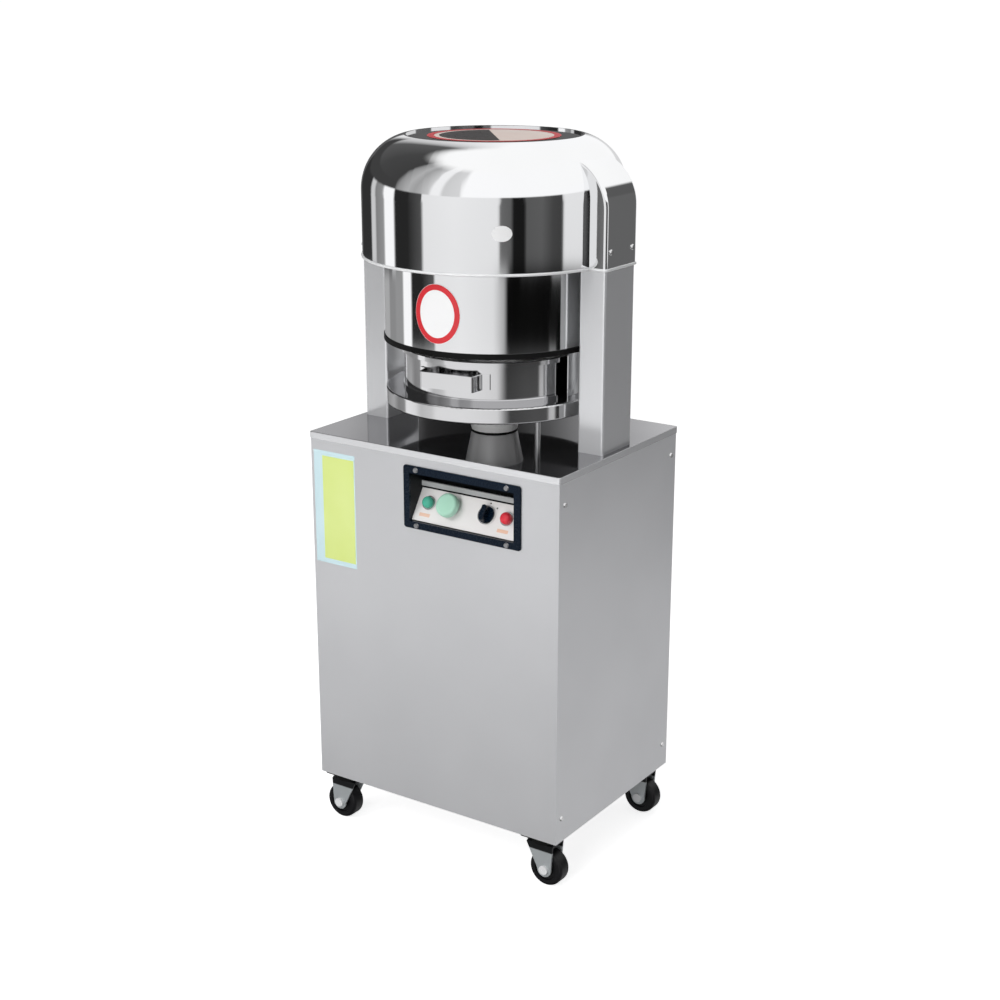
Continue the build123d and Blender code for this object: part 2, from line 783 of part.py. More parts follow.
# Fork at the foot of the ram with the roller pin
fork_inner = roller_width / 2 + fork_side_gap
fork_outer = fork_inner + fork_cheek
with BuildPart() as ram_fork:
    with BuildSketch(Plane.XY.offset(roller_z + fork_crown_rise)):
        Rectangle(2 * fork_outer, fork_depth)
    extrude(amount=fork_crown)
    with BuildSketch(facing_right(-fork_outer, 0, roller_z)):
        Circle(fork_depth / 2)
        with Locations((0, fork_crown_rise / 2)):
            Rectangle(fork_depth, fork_crown_rise)
    extrude(amount=fork_cheek)
    with BuildSketch(facing_right(fork_inner, 0, roller_z)):
        Circle(fork_depth / 2)
        with Locations((0, fork_crown_rise / 2)):
            Rectangle(fork_depth, fork_crown_rise)
    extrude(amount=fork_cheek)
    with BuildSketch(facing_right(-fork_outer, 0, roller_z)):
        Circle(roller_pin)
    extrude(amount=2 * fork_outer)

with BuildPart() as follower_roller:
    with BuildSketch(facing_right(-roller_width / 2, 0, roller_z)):
        Circle(roller_radius)
        Circle(roller_pin + running_gap, mode=Mode.SUBTRACT)
    extrude(amount=roller_width)

# Worm gearbox with its upright motor
gearbox_x = (gearbox_left + gearbox_right) / 2
gearbox_length = gearbox_right - gearbox_left
gearbox_under = cam_z - gearbox_half_height
gearbox_over = cam_z + gearbox_half_height
motor_height = ring_under - guide_flange - motor_clearance - fan_height - gearbox_over
with BuildPart() as worm_gearbox:
    with BuildSketch(Plane.XY.offset(gearbox_under)):
        with Locations((gearbox_x, 0)):
            RectangleRounded(gearbox_length, 2 * gearbox_half_depth, gearbox_round)
        with Locations((gearbox_x, worm_y)):
            Circle(worm_radius)
    extrude(amount=2 * gearbox_half_height)
    with BuildSketch(facing_right(gearbox_left, 0, cam_z)):
        Circle(shaft_radius + body_gap)
    extrude(amount=gearbox_length, mode=Mode.SUBTRACT)

with BuildPart() as drive_motor:
    with BuildSketch(Plane.XY.offset(gearbox_over)):
        with Locations((gearbox_x, worm_y)):
            Circle(motor_radius)
    extrude(amount=motor_height)
    with BuildSketch(Plane.XY.offset(gearbox_over + motor_flange)):
        with Locations((gearbox_x, worm_y)):
            with PolarLocations(motor_radius, motor_fins):
                Rectangle(2 * fin_depth, fin_width)
    extrude(amount=motor_height - 2 * motor_flange, mode=Mode.SUBTRACT)

with BuildPart() as motor_fan_cover:
    with BuildSketch(Plane.XY.offset(gearbox_over + motor_height)):
        with Locations((gearbox_x, worm_y)):
            Circle(fan_radius)
    extrude(amount=fan_height)
    fillet(motor_fan_cover.faces().sort_by(Axis.Z)[-1].edges(), radius=gearbox_round)

# Stand under the gearbox and the outer bearing of the cam shaft
with BuildPart() as gearbox_stand:
    with BuildSketch(Plane.XZ.offset(-gearbox_half_depth)):
        with BuildLine():
            Polyline((gearbox_left - stand_foot, base_top), (gearbox_left + stand_sheet, base_top),
                     (gearbox_left + stand_sheet, gearbox_under - stand_sheet),
                     (gearbox_right - stand_sheet, gearbox_under - stand_sheet),
                     (gearbox_right - stand_sheet, base_top), (gearbox_right + stand_foot, base_top),
                     (gearbox_right + stand_foot, base_top + stand_sheet),
                     (gearbox_right, base_top + stand_sheet), (gearbox_right, gearbox_under),
                     (gearbox_left, gearbox_under), (gearbox_left, base_top + stand_sheet),
                     (gearbox_left - stand_foot, base_top + stand_sheet), close=True)
        make_face()
    extrude(amount=2 * gearbox_half_depth)

with BuildPart() as bearing_block:
    with BuildSketch(facing_right(block_left, 0, 0)):
        with Locations((0, (base_top + cam_z) / 2)):
            Rectangle(block_depth, cam_z - base_top)
        with Locations((0, cam_z)):
            Circle(block_depth / 2)
            Circle(shaft_radius + body_gap, mode=Mode.SUBTRACT)
    extrude(amount=block_width)

# Electrical box on the rear panel, open towards it
with BuildPart() as electrical_box:
    with BuildSketch(Plane.XZ.offset(-inner_y)):
        with Locations((box_x, base_z + box_rise + box_height / 2)):
            RectangleRounded(box_width, box_height, tray_wall)
    extrude(amount=box_depth)
    with BuildSketch(Plane.XZ.offset(-inner_y)):
        with Locations((box_x, base_z + box_rise + box_height / 2)):
            Rectangle(box_width - 2 * tray_wall, box_height - 2 * tray_wall)
    extrude(amount=box_depth - tray_wall, mode=Mode.SUBTRACT)

# Cable gland in the rear panel
with BuildPart() as cable_gland:
    with BuildSketch(facing_front(cable_x, panel_y, base_z + cable_z)):
        RegularPolygon(cable_nut_radius, cable_nut_sides)
    extrude(amount=-cable_out)
    with BuildSketch(facing_front(cable_x, panel_y, base_z + cable_z)):
        Circle(cable_thread_radius)
    extrude(amount=cable_in)
    with BuildSketch(facing_front(cable_x, panel_y + cable_out, base_z + cable_z)):
        Circle(cable_bore)
    extrude(amount=cable_out + cable_in, mode=Mode.SUBTRACT)

# Recessed tray, black bezel and screws of the control panel
with BuildPart() as control_tray:
    with BuildSketch(Plane.XZ.offset(panel_y)):
        with Locations((bezel_x, bezel_z)):
            Rectangle(open_width + 2 * tray_wall, open_height + 2 * tray_wall)
    extrude(amount=-tray_depth)
    with BuildSketch(Plane.XZ.offset(panel_y)):
        with Locations((bezel_x, bezel_z)):
            Rectangle(open_width, open_height)
    extrude(amount=tray_wall - tray_depth, mode=Mode.SUBTRACT)

with BuildPart() as control_bezel:
    with BuildSketch(Plane.XZ.offset(panel_y)):
        with Locations((bezel_x, bezel_z)):
            RectangleRounded(bezel_width, bezel_height, bezel_round)
            Rectangle(open_width, open_height, mode=Mode.SUBTRACT)
            with GridLocations(2 * bezel_screw_x, 2 * bezel_screw_z, 2, 2):
                Circle(screw_shank + bolt_gap, mode=Mode.SUBTRACT)
    extrude(amount=bezel_sheet)
    fillet(control_bezel.faces().sort_by(Axis.Y)[0].outer_wire().edges(), radius=bezel_edge)

with BuildPart() as bezel_screws:
    with BuildSketch(Plane.XZ.offset(panel_y + bezel_sheet)):
        with Locations((bezel_x, bezel_z)):
            with GridLocations(2 * bezel_screw_x, 2 * bezel_screw_z, 2, 2):
                Circle(screw_head)
    extrude(amount=screw_head_height, taper=screw_head_taper)
    with BuildSketch(Plane.XZ.offset(panel_y + bezel_sheet)):
        with Locations((bezel_x, bezel_z)):
            with GridLocations(2 * bezel_screw_x, 2 * bezel_screw_z, 2, 2):
                Circle(screw_shank)
    extrude(amount=-bezel_sheet)

# White control plate, sloping back from its foot
with BuildPart() as control_plate:
    with BuildSketch(control_face):
        with Locations((0, plate_length / 2)):
            Rectangle(open_width, plate_length)
        with Locations((green_x, control_rise), (red_x, control_rise), (selector_x, control_rise)):
            Circle(lamp_stem + running_gap, mode=Mode.SUBTRACT)
        with Locations((mushroom_x, control_rise)):
            Circle(mushroom_stem + running_gap, mode=Mode.SUBTRACT)
    extrude(amount=-plate_sheet)

# Collars that guide the buttons and ring the selector
with BuildPart() as button_collars:
    with BuildSketch(control_face):
        with Locations((green_x, control_rise), (red_x, control_rise)):
            Circle(lamp_radius + bolt_gap + collar_wall)
        with Locations((mushroom_x, control_rise)):
            Circle(mushroom_stem + bolt_gap + collar_wall)
        with Locations((selector_x, control_rise)):
            Circle(selector_radius + bolt_gap + collar_wall)
        with Locations((green_x, control_rise), (red_x, control_rise)):
            Circle(lamp_radius + bolt_gap, mode=Mode.SUBTRACT)
        with Locations((mushroom_x, control_rise)):
            Circle(mushroom_stem + bolt_gap, mode=Mode.SUBTRACT)
        with Locations((selector_x, control_rise)):
            Circle(selector_radius + bolt_gap, mode=Mode.SUBTRACT)
    extrude(amount=collar_tall)


# A push button with a rounded cap and a stem through the control plate
def push_button(place, cap_radius, cap_height, stem_radius, stand, crown):
    with BuildPart() as button:
        with BuildSketch(control_face.offset(stand)):
            with Locations((place, control_rise)):
                Circle(cap_radius)
        extrude(amount=cap_height)
        fillet(button.faces().sort_by(control_axis)[-1].edges(), radius=crown)
        with BuildSketch(control_face.offset(stand)):
            with Locations((place, control_rise)):
                Circle(stem_radius)
        extrude(amount=-(stand + plate_sheet + stem_tail))
    return button


lamp_stand = lamp_travel + body_gap
mushroom_stand = mushroom_travel + collar_tall + body_gap
green_button = push_button(green_x, lamp_radius, lamp_height, lamp_stem, lamp_stand, lamp_crown)
red_button = push_button(red_x, lamp_radius, lamp_height, lamp_stem, lamp_stand, lamp_crown)
mushroom_button = push_button(mushroom_x, mushroom_radius, mushroom_height, mushroom_stem,
                              mushroom_stand, mushroom_crown)

# Rotary selector with a bar grip
with BuildPart() as selector_knob:
    with BuildSketch(control_face.offset(body_gap)):
        with Locations((selector_x, control_rise)):
            Circle(selector_radius)
    extrude(amount=selector_disc)
    with BuildSketch(control_face.offset(body_gap + selector_disc)):
        with Locations((selector_x, control_rise)):
            SlotOverall(2 * selector_reach, selector_bar, rotation=90)
    extrude(amount=selector_reach)
    fillet(selector_knob.faces().sort_by(control_axis)[-1].edges(), radius=selector_edge)
    with BuildSketch(control_face.offset(body_gap)):
        with Locations((selector_x, control_rise)):
            Circle(lamp_stem)
    extrude(amount=-(body_gap + plate_sheet + stem_tail))

# Fixed top plates and swivel cups of the four casters
with BuildPart() as caster_plates:
    with BuildSketch(Plane.XY.offset(base_z)):
        with GridLocations(2 * pivot_x, 2 * pivot_y, 2, 2):
            RectangleRounded(swivel_plate_x, swivel_plate_y, swivel_plate_corner)
    extrude(amount=-swivel_plate_sheet)
    with BuildSketch(Plane.XY.offset(base_z - swivel_plate_sheet)):
        with GridLocations(2 * pivot_x, 2 * pivot_y, 2, 2):
            Circle(cup_radius)
    extrude(amount=-cup_height)
    with BuildSketch(Plane.XY.offset(base_z - swivel_plate_sheet - cup_height)):
        with GridLocations(2 * pivot_x, 2 * pivot_y, 2, 2):
            Circle(kingpin_radius + running_gap)
    extrude(amount=cup_height, mode=Mode.SUBTRACT)

crown_top = base_z - swivel_plate_sheet - cup_height - body_gap
cheek_inner = wheel_width / 2 + cheek_gap
cheek_outer = cheek_inner + cheek_sheet


# A swivel fork with its kingpin and riveted axle
def caster_fork(x, y, trail):
    with BuildPart() as fork:
        with BuildSketch(Plane.XY.offset(crown_top)):
            with Locations((x, y)):
                RectangleRounded(crown_length, 2 * cheek_outer, cheek_sheet)
        extrude(amount=-crown_sheet)
        with BuildSketch(Plane.XY.offset(crown_top)):
            with Locations((x, y)):
                Circle(kingpin_radius)
        extrude(amount=cup_height - body_gap)
        for side in (-1, 1):
            face = facing_front(x, y + side * cheek_inner, 0)
            with BuildSketch(face):
                with BuildLine():
                    Polyline((-crown_length / 2, crown_top - crown_sheet / 2),
                             (trail - cheek_eye, wheel_z), (trail + cheek_eye, wheel_z),
                             (crown_length / 2, crown_top - crown_sheet / 2), close=True)
                make_face()
                with Locations((trail, wheel_z)):
                    Circle(cheek_eye)
            extrude(amount=-side * cheek_sheet)
            with BuildSketch(facing_front(x + trail, y + side * cheek_outer, wheel_z)):
                Circle(axle_head)
            extrude(amount=-side * axle_head_height)
        with BuildSketch(facing_front(x + trail, y + cheek_outer, wheel_z)):
            Circle(axle_radius)
        extrude(amount=2 * cheek_outer)
    return fork


# A wheel with rounded tread edges and dished sides
def caster_wheel(x, y, trail):
    with BuildPart() as wheel:
        with BuildSketch(facing_front(x + trail, y, wheel_z)):
            Circle(wheel_radius)
        extrude(amount=wheel_width / 2, both=True)
        fillet(wheel.edges().filter_by(GeomType.CIRCLE), radius=wheel_round)
        for side in (-1, 1):
            with BuildSketch(facing_front(x + trail, y + side * wheel_width / 2, wheel_z)):
                Circle(wheel_dish_radius)
                Circle(wheel_boss_radius, mode=Mode.SUBTRACT)
            extrude(amount=side * wheel_dish, mode=Mode.SUBTRACT)
        with BuildSketch(facing_front(x + trail, y, wheel_z)):
            Circle(axle_radius + running_gap)
        extrude(amount=wheel_width, both=True, mode=Mode.SUBTRACT)
    return wheel


pieces = {
    "base_plate": base_plate, "inner_frame": inner_frame, "top_plate": top_plate,
    "front_panel": front_panel, "rear_panel": rear_panel, "left_panel": left_panel,
    "right_panel": right_panel, "panel_screws": panel_screws, "left_upright": left_upright,
    "right_upright": right_upright, "head_cover": head_cover, "cover_screws": cover_screws,
    "cover_floor": cover_floor, "head_beam": head_beam, "skirt": skirt, "skirt_trim": skirt_trim,
    "knife_grid": knife_grid, "press_segments": press_segments, "press_carrier": press_carrier,
    "knife_spindle": knife_spindle, "press_spring": press_spring, "platen": platen,
    "platen_hub": platen_hub, "ram_shaft": ram_shaft, "guide_rod": guide_rod,
    "gland_ring": gland_ring, "ram_guide": ram_guide, "ram_bush": ram_bush, "back_stop": back_stop,
    "dough_pan": dough_pan, "pan_handle": pan_handle, "lift_cam": lift_cam, "cam_shaft": cam_shaft,
    "ram_fork": ram_fork, "follower_roller": follower_roller, "worm_gearbox": worm_gearbox,
    "drive_motor": drive_motor, "motor_fan_cover": motor_fan_cover, "gearbox_stand": gearbox_stand,
    "bearing_block": bearing_block, "electrical_box": electrical_box, "cable_gland": cable_gland,
    "control_tray": control_tray, "control_bezel": control_bezel, "bezel_screws": bezel_screws,
    "control_plate": control_plate, "button_collars": button_collars,
    "green_button": green_button, "red_button": red_button, "mushroom_button": mushroom_button,
    "selector_knob": selector_knob, "caster_plates": caster_plates}
corners = {"front_left": (-1, -1), "front_right": (1, -1), "rear_left": (-1, 1), "rear_right": (1, 1)}
for corner, (across, back) in corners.items():
    trail = across * wheel_trail
    pieces[corner + "_fork"] = caster_fork(across * pivot_x, back * pivot_y, trail)
    pieces[corner + "_wheel"] = caster_wheel(across * pivot_x, back * pivot_y, trail)

for label, piece in pieces.items():
    piece.part.label = label
    export_step(piece.part, "parts/" + label + ".step")
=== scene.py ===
import math

import bpy
from mathutils import Euler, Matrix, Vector


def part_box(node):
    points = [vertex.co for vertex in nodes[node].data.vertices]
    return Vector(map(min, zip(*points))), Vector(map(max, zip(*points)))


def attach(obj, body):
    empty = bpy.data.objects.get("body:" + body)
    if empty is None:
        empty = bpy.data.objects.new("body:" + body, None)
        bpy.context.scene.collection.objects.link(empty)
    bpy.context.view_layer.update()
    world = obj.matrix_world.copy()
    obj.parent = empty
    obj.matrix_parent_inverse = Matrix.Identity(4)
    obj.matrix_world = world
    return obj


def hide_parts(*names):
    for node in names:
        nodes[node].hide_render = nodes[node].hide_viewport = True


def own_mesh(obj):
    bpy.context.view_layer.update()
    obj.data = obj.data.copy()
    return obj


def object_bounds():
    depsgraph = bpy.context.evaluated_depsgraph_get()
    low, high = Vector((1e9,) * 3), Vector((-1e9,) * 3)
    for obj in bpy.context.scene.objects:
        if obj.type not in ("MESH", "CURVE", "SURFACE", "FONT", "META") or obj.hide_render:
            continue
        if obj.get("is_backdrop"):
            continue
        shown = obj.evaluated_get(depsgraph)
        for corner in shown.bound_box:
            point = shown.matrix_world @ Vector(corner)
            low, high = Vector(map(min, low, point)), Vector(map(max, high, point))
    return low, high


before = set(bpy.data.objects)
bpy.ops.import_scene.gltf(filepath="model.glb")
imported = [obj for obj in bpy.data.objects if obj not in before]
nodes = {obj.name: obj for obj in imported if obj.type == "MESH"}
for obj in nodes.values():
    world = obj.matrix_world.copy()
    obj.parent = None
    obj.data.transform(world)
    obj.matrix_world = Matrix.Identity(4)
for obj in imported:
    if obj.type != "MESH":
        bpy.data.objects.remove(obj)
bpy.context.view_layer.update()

scene = bpy.context.scene

# The drums of the skirt and the head cover, and how far a print stands off, in metres
SKIRT_RADIUS = 0.193
COVER_RADIUS = 0.229
STICKER_LIFT = 0.0003

# Values of a noise at which a tone is fully dark and fully light
TONE_DARK, TONE_LIGHT = 0.3, 0.7
# Scale and detail of the slow change of tone
METAL_TONE = (4, 2)
COATING_TONE = (9, 2)
# Detail of the fine surface, and the strength of its bump
METAL_DETAIL, METAL_BUMP = 3, 0.25
COATING_DETAIL, COATING_BUMP = 4, 0.3
EVEN = (1, 1, 1)


# Node helpers for the procedural materials
def new_material(name):
    material = bpy.data.materials.new(name)
    material.use_nodes = True
    return material, material.node_tree, material.node_tree.nodes["Principled BSDF"]


def coordinates(tree, scale):
    place = tree.nodes.new("ShaderNodeTexCoord")
    mapping = tree.nodes.new("ShaderNodeMapping")
    mapping.inputs["Scale"].default_value = scale
    tree.links.new(place.outputs["Object"], mapping.inputs["Vector"])
    return mapping.outputs["Vector"]


def noise(tree, scale, detail, stretch=EVEN):
    texture = tree.nodes.new("ShaderNodeTexNoise")
    texture.inputs["Scale"].default_value = scale
    texture.inputs["Detail"].default_value = detail
    tree.links.new(coordinates(tree, stretch), texture.inputs["Vector"])
    return texture.outputs["Fac"]


def spread(tree, factor, low, high):
    span = tree.nodes.new("ShaderNodeMapRange")
    span.inputs["To Min"].default_value = low
    span.inputs["To Max"].default_value = high
    tree.links.new(factor, span.inputs["Value"])
    return span.outputs["Result"]


def shade(tree, factor, dark, light):
    ramp = tree.nodes.new("ShaderNodeValToRGB")
    ramp.color_ramp.elements[0].position = TONE_DARK
    ramp.color_ramp.elements[1].position = TONE_LIGHT
    ramp.color_ramp.elements[0].color = (*dark, 1)
    ramp.color_ramp.elements[1].color = (*light, 1)
    tree.links.new(factor, ramp.inputs["Fac"])
    return ramp.outputs["Color"]


def bump(tree, shader, factor, strength, distance):
    node = tree.nodes.new("ShaderNodeBump")
    node.inputs["Strength"].default_value = strength
    node.inputs["Distance"].default_value = distance
    tree.links.new(factor, node.inputs["Height"])
    tree.links.new(node.outputs["Normal"], shader.inputs["Normal"])


# A mix of two colours, each a fixed tuple or a socket
def blend(tree, factor, first, second):
    node = tree.nodes.new("ShaderNodeMix")
    node.data_type = "RGBA"
    tree.links.new(factor, node.inputs[0])
    sockets = [socket for socket in node.inputs if socket.type == "RGBA"]
    for socket, value in zip(sockets, (first, second)):
        if isinstance(value, tuple):
            socket.default_value = value
        else:
            tree.links.new(value, socket)
    return [socket for socket in node.outputs if socket.type == "RGBA"][0]


# Brushed or polished metal: fine lines along one direction and a faint cloudy tone.
# The share of metal is lower where the steel scatters more light.
def metal(name, dark, light, rough, grain=EVEN, grain_scale=60, depth=0.0, share=1.0):
    material, tree, shader = new_material(name)
    shader.inputs["Metallic"].default_value = share
    lines = noise(tree, grain_scale, METAL_DETAIL, grain)
    tone = shade(tree, noise(tree, *METAL_TONE), dark, light)
    tree.links.new(tone, shader.inputs["Base Color"])
    tree.links.new(spread(tree, lines, *rough), shader.inputs["Roughness"])
    if depth:
        bump(tree, shader, lines, METAL_BUMP, depth)
    return material


# Paint, plastic, rubber or print with a faint mottled tone and a fine surface
def coating(name, dark, light, rough, scale=120, depth=0.0, gloss=0.5):
    material, tree, shader = new_material(name)
    shader.inputs["Specular IOR Level"].default_value = gloss
    fine = noise(tree, scale, COATING_DETAIL)
    tone = shade(tree, noise(tree, *COATING_TONE), dark, light)
    tree.links.new(tone, shader.inputs["Base Color"])
    tree.links.new(spread(tree, fine, *rough), shader.inputs["Roughness"])
    if depth:
        bump(tree, shader, fine, COATING_BUMP, depth)
    return material


# A grain's lines run along the axes that have small values
UPRIGHT_GRAIN = (1, 1, 0.03)
SATIN = metal("satin_steel", (0.74, 0.745, 0.76), (0.79, 0.795, 0.81), (0.27, 0.34),
              grain=UPRIGHT_GRAIN, grain_scale=500, depth=0.00004, share=0.6)
SATIN_POST = metal("satin_tube", (0.82, 0.825, 0.84), (0.87, 0.875, 0.89), (0.16, 0.22),
                   grain=UPRIGHT_GRAIN, grain_scale=500, share=0.6)
# Mirror steel darkened as painted shade, for the dark reflection on the flat tops
SHADED_MIRROR_STEEL = metal("mirror_steel_painted_shade", (0.29, 0.29, 0.30), (0.34, 0.34, 0.35), (0.04, 0.07),
                  grain=(0.03, 1, 1), grain_scale=400, share=0.97)
POLISHED = metal("polished_steel", (0.91, 0.915, 0.92), (0.95, 0.955, 0.96), (0.035, 0.055),
                 grain=(1, 1, 0.05), grain_scale=200)
PAN_STEEL = metal("pan_steel", (0.74, 0.74, 0.745), (0.80, 0.80, 0.805), (0.07, 0.11),
                  grain=(0.2, 0.2, 1), grain_scale=300)
TURNED = metal("turned_alloy", (0.90, 0.90, 0.89), (0.95, 0.95, 0.94), (0.28, 0.38),
               grain=(0.1, 0.1, 1), grain_scale=300, depth=0.00003, share=0.1)
MACHINED = metal("machined_steel", (0.42, 0.42, 0.43), (0.52, 0.52, 0.53), (0.24, 0.36),
                 grain=(1, 1, 0.2), grain_scale=150)
BRIGHT = metal("screw_steel", (0.70, 0.70, 0.70), (0.82, 0.82, 0.82), (0.16, 0.24),
               grain_scale=300)
ZINC = metal("zinc_plate", (0.47, 0.50, 0.51), (0.54, 0.57, 0.58), (0.28, 0.40), share=0.5)
RIVET_STEEL = metal("rivet_steel", (0.84, 0.845, 0.85), (0.92, 0.925, 0.93), (0.22, 0.30),
                    grain_scale=200, share=0.2)
HEM_STEEL = metal("hem_steel", (0.84, 0.845, 0.85), (0.90, 0.905, 0.91), (0.30, 0.38),
                  grain_scale=200, share=0.2)
BRONZE = metal("bearing_bronze", (0.42, 0.28, 0.12), (0.55, 0.38, 0.18), (0.25, 0.38),
               grain=(1, 1, 0.2), grain_scale=120)

RUBBER = coating("black_rubber", (0.004, 0.004, 0.004), (0.008, 0.008, 0.008), (0.45, 0.60),
                 scale=200, depth=0.00005, gloss=0.12)
WHEEL = coating("wheel_rubber", (0.005, 0.005, 0.006), (0.010, 0.010, 0.011), (0.30, 0.45),
                scale=150, depth=0.00005, gloss=0.25)
BLACK = coating("black_plastic", (0.001, 0.005, 0.012), (0.002, 0.008, 0.019), (0.22, 0.32),
                scale=400, depth=0.00002, gloss=0.2)
# Black as painted shade inside the control recess, under the bezel's top edge
TRAY_PAINTED_SHADE = coating("tray_painted_shade", (0.004, 0.005, 0.006), (0.008, 0.009, 0.011), (0.35, 0.5),
                     scale=300, gloss=0.2)
WHITE = coating("white_plate", (0.80, 0.78, 0.77), (0.86, 0.84, 0.83), (0.40, 0.50), scale=200)
MINT = coating("mint_plastic", (0.38, 0.66, 0.51), (0.44, 0.74, 0.59), (0.30, 0.40), scale=200)
GREEN = coating("green_plastic", (0.05, 0.36, 0.25), (0.08, 0.45, 0.32), (0.12, 0.20), scale=200)
RED = coating("red_plastic", (0.70, 0.03, 0.05), (0.80, 0.05, 0.07), (0.12, 0.20), scale=200)
MOTOR = coating("motor_paint", (0.05, 0.08, 0.12), (0.07, 0.10, 0.15), (0.40, 0.50),
                scale=150, depth=0.00005)
IRON = coating("painted_iron", (0.07, 0.075, 0.08), (0.10, 0.105, 0.11), (0.50, 0.65),
               scale=90, depth=0.0001)
BOX_GREY = coating("box_paint", (0.40, 0.41, 0.41), (0.46, 0.47, 0.47), (0.40, 0.50), scale=200)

STICKER_ROUGH = (0.30, 0.36)
LABEL_ROUGH = (0.40, 0.46)
STICKER_WHITE = coating("sticker_white", (0.86, 0.86, 0.86), (0.90, 0.90, 0.90), STICKER_ROUGH)
STICKER_RED = coating("sticker_red", (0.60, 0.02, 0.03), (0.68, 0.03, 0.04), STICKER_ROUGH)
STICKER_PEACH = coating("sticker_peach", (0.90, 0.74, 0.66), (0.94, 0.82, 0.76), STICKER_ROUGH)
STICKER_BLACK = coating("sticker_black", (0.012, 0.010, 0.010), (0.03, 0.02, 0.02), (0.25, 0.32))
MARK_SALMON = coating("mark_salmon", (0.80, 0.52, 0.38), (0.86, 0.60, 0.46), STICKER_ROUGH)
LABEL_YELLOW = coating("label_yellow", (0.665, 0.78, 0.23), (0.72, 0.83, 0.31), LABEL_ROUGH)
LABEL_CYAN = coating("label_cyan", (0.57, 0.75, 0.79), (0.64, 0.81, 0.86), LABEL_ROUGH)

corners = ("front_left", "front_right", "rear_left", "rear_right")
dress = {
    SATIN: ("front_panel", "rear_panel", "left_panel", "right_panel"),
    SATIN_POST: ("left_upright", "right_upright"),
    SHADED_MIRROR_STEEL: ("top_plate",),
    POLISHED: ("head_cover", "skirt", "back_stop"),
    PAN_STEEL: ("dough_pan", "pan_handle", "platen", "cover_floor"),
    TURNED: ("platen_hub", "press_segments"),
    MACHINED: ("base_plate", "knife_grid", "knife_spindle", "press_carrier", "press_spring",
               "ram_fork", "follower_roller", "cam_shaft", "lift_cam", "inner_frame",
               "gearbox_stand", "head_beam", "bezel_screws"),
    BRIGHT: ("panel_screws", "cover_screws", "button_collars", "ram_shaft", "guide_rod"),
    ZINC: tuple(corner + "_fork" for corner in corners),
    WHEEL: tuple(corner + "_wheel" for corner in corners),
    BRONZE: ("ram_bush",),
    # Black rubber on the caster plates is painted shade under the cabinet's edge; on the skirt trim
    # it is a rubber trim and partly painted shade for the dark gap under the skirt
    RUBBER: ("skirt_trim", "gland_ring", "caster_plates"),
    BLACK: ("control_bezel", "selector_knob", "cable_gland"),
    # The control recess is painted black as shade
    TRAY_PAINTED_SHADE: ("control_tray",),
    WHITE: ("control_plate",),
    MINT: ("mushroom_button",),
    GREEN: ("green_button",),
    RED: ("red_button",),
    MOTOR: ("drive_motor", "motor_fan_cover"),
    IRON: ("worm_gearbox", "bearing_block", "ram_guide"),
    BOX_GREY: ("electrical_box",),
}
for material, names in dress.items():
    for name in names:
        nodes[name].data.materials.clear()
        nodes[name].data.materials.append(material)

# The tray's flat top and the platen's flat faces are mirror steel darkened as painted shade, for
# the dark things they mirror; the tray's lip is satin
FLAT_NORMAL = 0.7
top_mesh = nodes["top_plate"].data
top_mesh.materials.append(SATIN_POST)
for polygon in top_mesh.polygons:
    polygon.material_index = 0 if polygon.normal.z > FLAT_NORMAL else 1
platen_mesh = nodes["platen"].data
platen_mesh.materials.append(SHADED_MIRROR_STEEL)
for polygon in platen_mesh.polygons:
    polygon.material_index = 1 if abs(polygon.normal.z) > FLAT_NORMAL else 0

# Caster forks: zinc, with painted shade over the crown where the cabinet shades it, and a bright
# rivet at each end of the axle
FORK_PAINTED_SHADE = (0.010, 0.011, 0.012, 1)
CROWN_SHARE, CROWN_EDGE = 0.68, 0.001
RIVET_REACH, RIVET_STAND = 0.009, 0.0035


# Painted shade: the colour turns near-black above the given height, standing in for the cabinet's
# shadow on the crown
def paint_shade_above(material, height):
    tree = material.node_tree
    colour = tree.nodes["Principled BSDF"].inputs["Base Color"]
    zinc = colour.links[0].from_socket
    parts = tree.nodes.new("ShaderNodeSeparateXYZ")
    tree.links.new(coordinates(tree, EVEN), parts.inputs[0])
    edge = tree.nodes.new("ShaderNodeMapRange")
    edge.inputs["From Min"].default_value = height - CROWN_EDGE
    edge.inputs["From Max"].default_value = height + CROWN_EDGE
    tree.links.new(parts.outputs["Z"], edge.inputs["Value"])
    tree.links.new(blend(tree, edge.outputs["Result"], zinc, FORK_PAINTED_SHADE), colour)


fork_low, fork_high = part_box("front_left_fork")
paint_shade_above(ZINC, fork_low[2] + CROWN_SHARE * (fork_high[2] - fork_low[2]))
for corner in corners:
    fork_mesh = nodes[corner + "_fork"].data
    fork_mesh.materials.append(RIVET_STEEL)
    wheel_low, wheel_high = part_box(corner + "_wheel")
    fork_low, fork_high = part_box(corner + "_fork")
    axle_x, axle_z = (wheel_low[0] + wheel_high[0]) / 2, (wheel_low[2] + wheel_high[2]) / 2
    for polygon in fork_mesh.polygons:
        middle = polygon.center
        near = math.hypot(middle.x - axle_x, middle.z - axle_z) < RIVET_REACH
        proud = min(middle.y - fork_low[1], fork_high[1] - middle.y) < RIVET_STAND
        polygon.material_index = 1 if near and proud else 0


# A mesh from vertices and faces that rides on a body
def piece(name, vertices, faces, material, body="machine"):
    mesh = bpy.data.meshes.new(name)
    mesh.from_pydata(vertices, [], faces)
    mesh.update()
    mesh.materials.append(material)
    item = bpy.data.objects.new(name, mesh)
    scene.collection.objects.link(item)
    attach(item, body)
    return item


# Faces of a box whose corners run through x, then y, then z
BOX_FACES = [(0, 1, 3, 2), (4, 6, 7, 5), (0, 4, 5, 1), (2, 3, 7, 6), (0, 2, 6, 4), (1, 5, 7, 3)]
ROUND_STEPS = 96
DISC_BANDS = 8
FIELD_STEPS = 48


